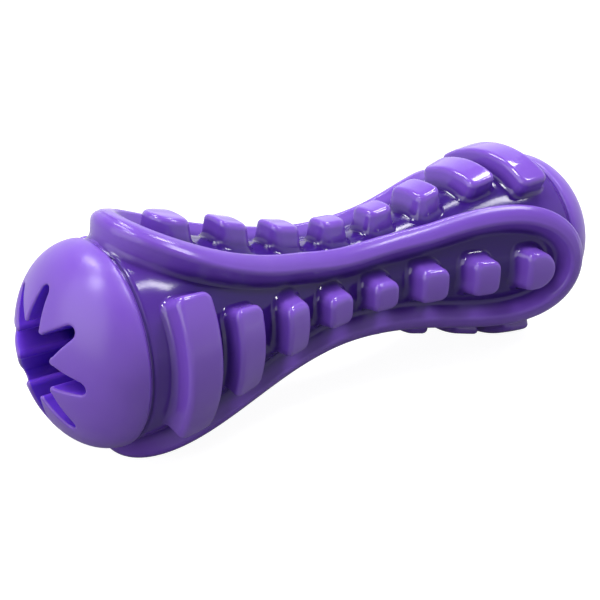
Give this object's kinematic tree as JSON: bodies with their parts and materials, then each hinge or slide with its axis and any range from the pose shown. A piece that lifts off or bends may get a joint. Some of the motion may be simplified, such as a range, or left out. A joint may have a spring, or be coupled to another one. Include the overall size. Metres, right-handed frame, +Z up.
{
  "type": "dog chew toy",
  "caption": "Hourglass rubber chew toy with a star-shaped mouth in each domed end, stud panels and a wavy raised rail.",
  "frame": {"origin": "middle of the toy, on its long axis", "axes": "+X along the toy, +Z up through the top panel as it lies, -Y out of the front panel"},
  "size_m": [0.1478, 0.0512, 0.0512],
  "materials": {
    "violet_rubber": "glossy"
  },
  "bodies": {
    "root": {"barrel": "violet_rubber", "left_mouth": "violet_rubber", "right_mouth": "violet_rubber", "seam_rail": "violet_rubber", "front_studs": "violet_rubber", "top_studs": "violet_rubber", "back_studs": "violet_rubber", "bottom_studs": "violet_rubber", "front_end_stud": "violet_rubber", "top_end_stud": "violet_rubber", "back_end_stud": "violet_rubber", "bottom_end_stud": "violet_rubber", "front_inner_rib": "violet_rubber", "top_inner_rib": "violet_rubber", "back_inner_rib": "violet_rubber", "bottom_inner_rib": "violet_rubber", "front_outer_rib": "violet_rubber", "top_outer_rib": "violet_rubber", "back_outer_rib": "violet_rubber", "bottom_outer_rib": "violet_rubber"}
  },
  "joints": []
}
